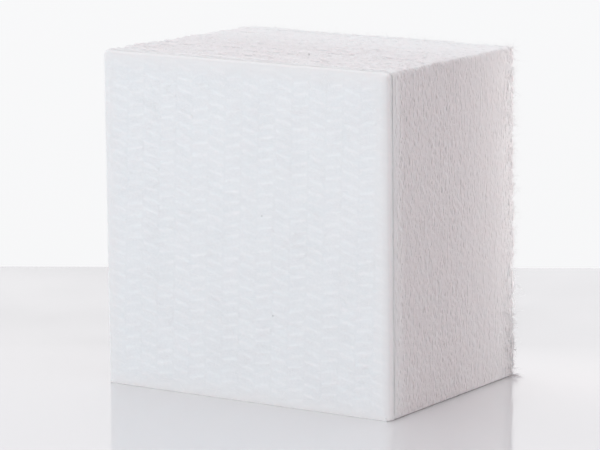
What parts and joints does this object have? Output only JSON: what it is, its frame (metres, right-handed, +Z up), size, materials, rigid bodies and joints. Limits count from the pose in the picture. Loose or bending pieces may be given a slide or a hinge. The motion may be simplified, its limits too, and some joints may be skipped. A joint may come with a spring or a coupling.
{
  "type": "nail wipe block",
  "caption": "Block of square nonwoven nail wipes pressed together and stood on their cut edge, taken one at a time from the front.",
  "frame": {"origin": "on the surface that the block stands on, under the middle of the block's box", "axes": "+X to the right across the front wipe, +Y from the front wipe to the rear one, +Z up along the wipes' height"},
  "size_m": [0.0498, 0.037, 0.05],
  "materials": {
    "nonwoven": "matte"
  },
  "bodies": {
    "pack_091_100": {"wipes_091_092": "nonwoven", "wipes_093_094": "nonwoven", "wipes_095_096": "nonwoven", "wipes_097_098": "nonwoven", "wipes_099_100": "nonwoven"},
    "pack_081_090": {"wipes_081_082": "nonwoven", "wipes_083_084": "nonwoven", "wipes_085_086": "nonwoven", "wipes_087_088": "nonwoven", "wipes_089_090": "nonwoven"},
    "pack_071_080": {"wipes_071_072": "nonwoven", "wipes_073_074": "nonwoven", "wipes_075_076": "nonwoven", "wipes_077_078": "nonwoven", "wipes_079_080": "nonwoven"},
    "pack_061_070": {"wipes_061_062": "nonwoven", "wipes_063_064": "nonwoven", "wipes_065_066": "nonwoven", "wipes_067_068": "nonwoven", "wipes_069_070": "nonwoven"},
    "pack_051_060": {"wipes_051_052": "nonwoven", "wipes_053_054": "nonwoven", "wipes_055_056": "nonwoven", "wipes_057_058": "nonwoven", "wipes_059_060": "nonwoven"},
    "pack_041_050": {"wipes_041_042": "nonwoven", "wipes_043_044": "nonwoven", "wipes_045_046": "nonwoven", "wipes_047_048": "nonwoven", "wipes_049_050": "nonwoven"},
    "pack_031_040": {"wipes_031_032": "nonwoven", "wipes_033_034": "nonwoven", "wipes_035_036": "nonwoven", "wipes_037_038": "nonwoven", "wipes_039_040": "nonwoven"},
    "pack_021_030": {"wipes_021_022": "nonwoven", "wipes_023_024": "nonwoven", "wipes_025_026": "nonwoven", "wipes_027_028": "nonwoven", "wipes_029_030": "nonwoven"},
    "pack_011_020": {"wipes_011_012": "nonwoven", "wipes_013_014": "nonwoven", "wipes_015_016": "nonwoven", "wipes_017_018": "nonwoven", "wipes_019_020": "nonwoven"},
    "wipe_010": {"wipe_010": "nonwoven"},
    "wipe_009": {"wipe_009": "nonwoven"},
    "wipe_008": {"wipe_008": "nonwoven"},
    "wipe_007": {"wipe_007": "nonwoven"},
    "wipe_006": {"wipe_006": "nonwoven"},
    "wipe_005": {"wipe_005": "nonwoven"},
    "wipe_004": {"wipe_004": "nonwoven"},
    "wipe_003": {"wipe_003": "nonwoven"},
    "wipe_002": {"wipe_002": "nonwoven"},
    "wipe_001": {"wipe_001": "nonwoven"}
  },
  "joints": [
    {"name": "pack_081_090_apart", "type": "slide", "parent": "pack_091_100", "child": "pack_081_090", "axis": [0, -1, 0], "range_m": [0, 0.003]},
    {"name": "pack_071_080_apart", "type": "slide", "parent": "pack_081_090", "child": "pack_071_080", "axis": [0, -1, 0], "range_m": [0, 0.003]},
    {"name": "pack_061_070_apart", "type": "slide", "parent": "pack_071_080", "child": "pack_061_070", "axis": [0, -1, 0], "range_m": [0, 0.003]},
    {"name": "pack_051_060_apart", "type": "slide", "parent": "pack_061_070", "child": "pack_051_060", "axis": [0, -1, 0], "range_m": [0, 0.003]},
    {"name": "pack_041_050_apart", "type": "slide", "parent": "pack_051_060", "child": "pack_041_050", "axis": [0, -1, 0], "range_m": [0, 0.003]},
    {"name": "pack_031_040_apart", "type": "slide", "parent": "pack_041_050", "child": "pack_031_040", "axis": [0, -1, 0], "range_m": [0, 0.003]},
    {"name": "pack_021_030_apart", "type": "slide", "parent": "pack_031_040", "child": "pack_021_030", "axis": [0, -1, 0], "range_m": [0, 0.003]},
    {"name": "pack_011_020_apart", "type": "slide", "parent": "pack_021_030", "child": "pack_011_020", "axis": [0, -1, 0], "range_m": [0, 0.003]},
    {"name": "wipe_010_off", "type": "slide", "parent": "pack_011_020", "child": "wipe_010", "axis": [0, -1, 0], "range_m": [0, 0.003]},
    {"name": "wipe_009_off", "type": "slide", "parent": "wipe_010", "child": "wipe_009", "axis": [0, -1, 0], "range_m": [0, 0.003]},
    {"name": "wipe_008_off", "type": "slide", "parent": "wipe_009", "child": "wipe_008", "axis": [0, -1, 0], "range_m": [0, 0.003]},
    {"name": "wipe_007_off", "type": "slide", "parent": "wipe_008", "child": "wipe_007", "axis": [0, -1, 0], "range_m": [0, 0.003]},
    {"name": "wipe_006_off", "type": "slide", "parent": "wipe_007", "child": "wipe_006", "axis": [0, -1, 0], "range_m": [0, 0.003]},
    {"name": "wipe_005_off", "type": "slide", "parent": "wipe_006", "child": "wipe_005", "axis": [0, -1, 0], "range_m": [0, 0.003]},
    {"name": "wipe_004_off", "type": "slide", "parent": "wipe_005", "child": "wipe_004", "axis": [0, -1, 0], "range_m": [0, 0.003]},
    {"name": "wipe_003_off", "type": "slide", "parent": "wipe_004", "child": "wipe_003", "axis": [0, -1, 0], "range_m": [0, 0.003]},
    {"name": "wipe_002_off", "type": "slide", "parent": "wipe_003", "child": "wipe_002", "axis": [0, -1, 0], "range_m": [0, 0.003]},
    {"name": "front_wipe_off", "type": "slide", "parent": "wipe_002", "child": "wipe_001", "axis": [0, -1, 0], "range_m": [0, 0.025]}
  ]
}
